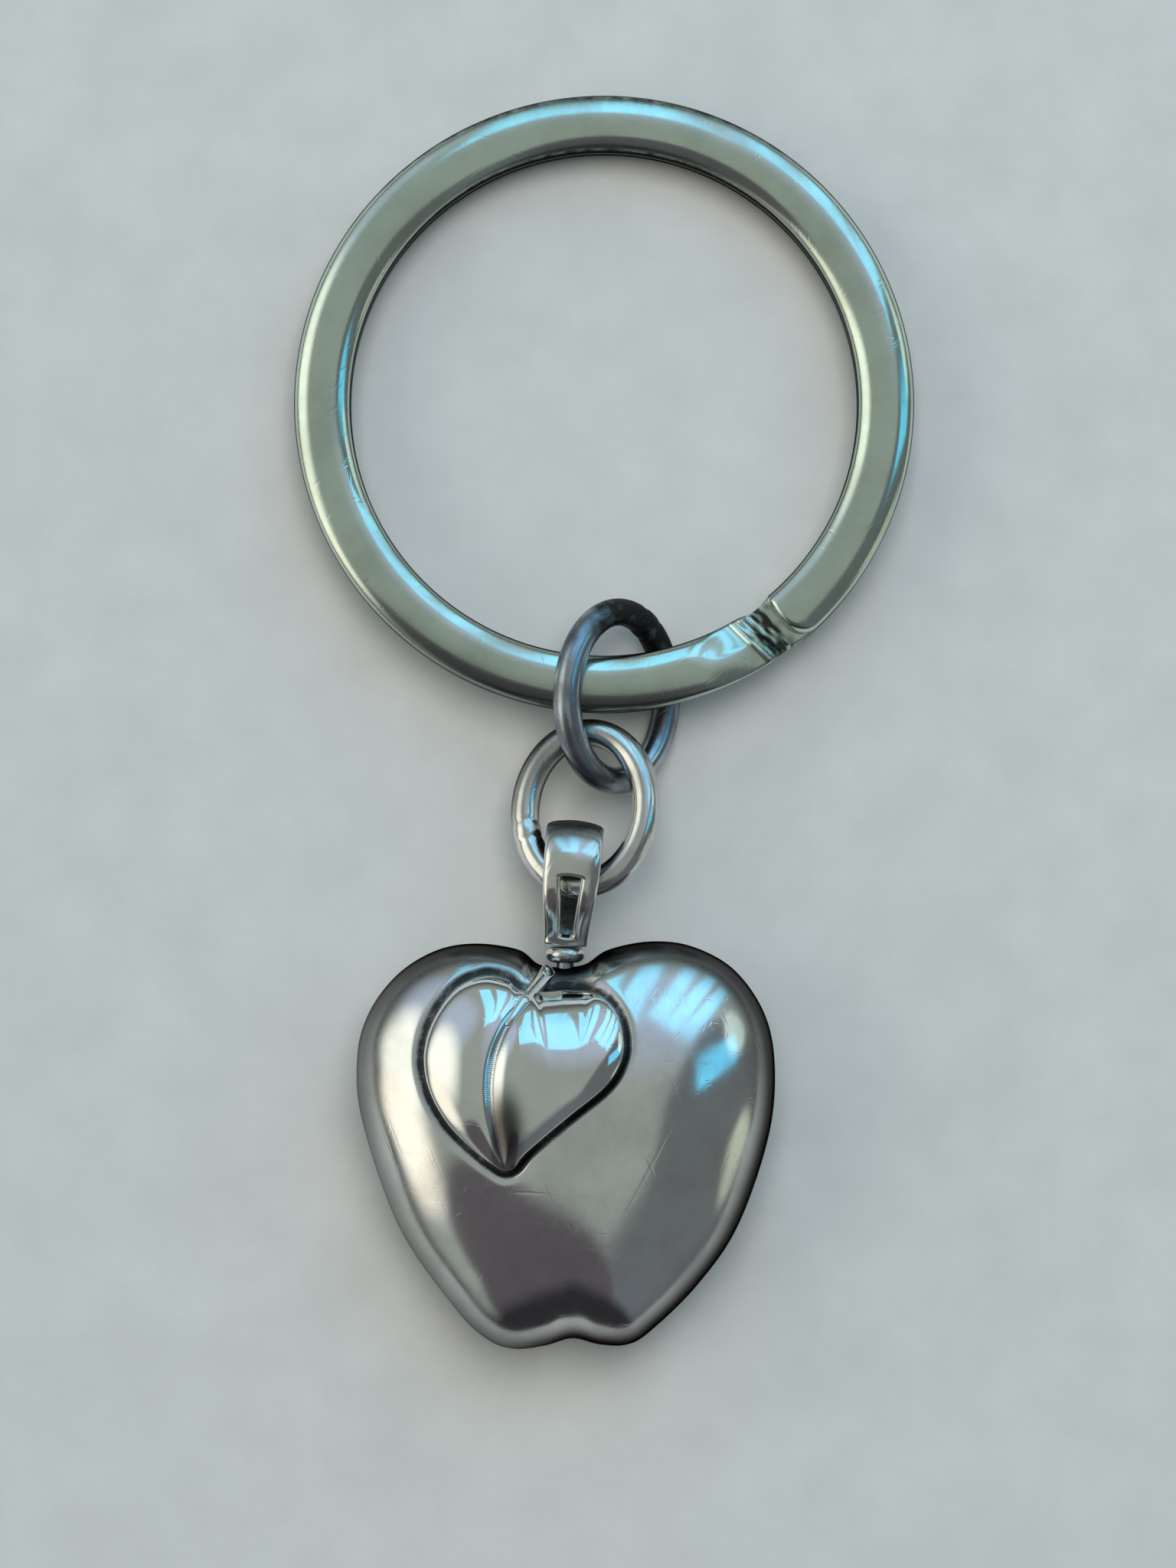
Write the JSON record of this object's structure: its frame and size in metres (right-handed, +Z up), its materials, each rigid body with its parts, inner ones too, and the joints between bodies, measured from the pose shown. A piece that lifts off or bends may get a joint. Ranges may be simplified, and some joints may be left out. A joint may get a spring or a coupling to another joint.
{
  "type": "split key ring with apple charm",
  "caption": "Silver split key ring joined by oval jump rings and a tapered bail to a puffed apple charm with a heart-shaped leaf.",
  "frame": {"origin": "on the table, under the middle of the whole object's box as it lies flat", "axes": "+Y from the charm to the split ring, along the length; +Z up from the table, out of the leaf's side; +X to the right"},
  "size_m": [0.032, 0.0644, 0.01],
  "materials": {
    "split_ring_silver": "polished, with fine scratches",
    "dark_link_silver": "oxidised, worn",
    "bright_link_silver": "polished, worn",
    "bail_silver": "polished, worn",
    "apple_silver": "satin, tarnished, scratched",
    "leaf_silver": "polished"
  },
  "bodies": {
    "charm": {"apple_front_shell": "apple_silver", "apple_back_shell": "apple_silver", "heart_leaf": "leaf_silver", "leaf_stem": "leaf_silver", "bail_loop": "bail_silver", "bail_collar": "bail_silver", "bail_post": "bail_silver"},
    "lower_link": {"lower_jump_ring": "bright_link_silver"},
    "upper_link": {"upper_jump_ring": "dark_link_silver"},
    "split_ring_body": {"split_ring": "split_ring_silver"}
  },
  "joints": [
    {"name": "lower_link_lift", "type": "hinge", "parent": "charm", "child": "lower_link", "pos_m": [-0.00131, -0.00805, 0.00452], "axis": [0.9962, -0.0872, 0], "range_deg": [0, 100]},
    {"name": "ring_lift", "type": "hinge", "parent": "lower_link", "child": "upper_link", "pos_m": [-0.00063, -0.00104, 0.00311], "axis": [0.9768, -0.0417, 0.2103], "range_deg": [0, 90]},
    {"name": "ring_travel", "type": "hinge", "parent": "upper_link", "child": "split_ring_body", "pos_m": [0, 0.01619, 0.00214], "axis": [0, 0.0553, 0.9985], "continuous": true}
  ]
}
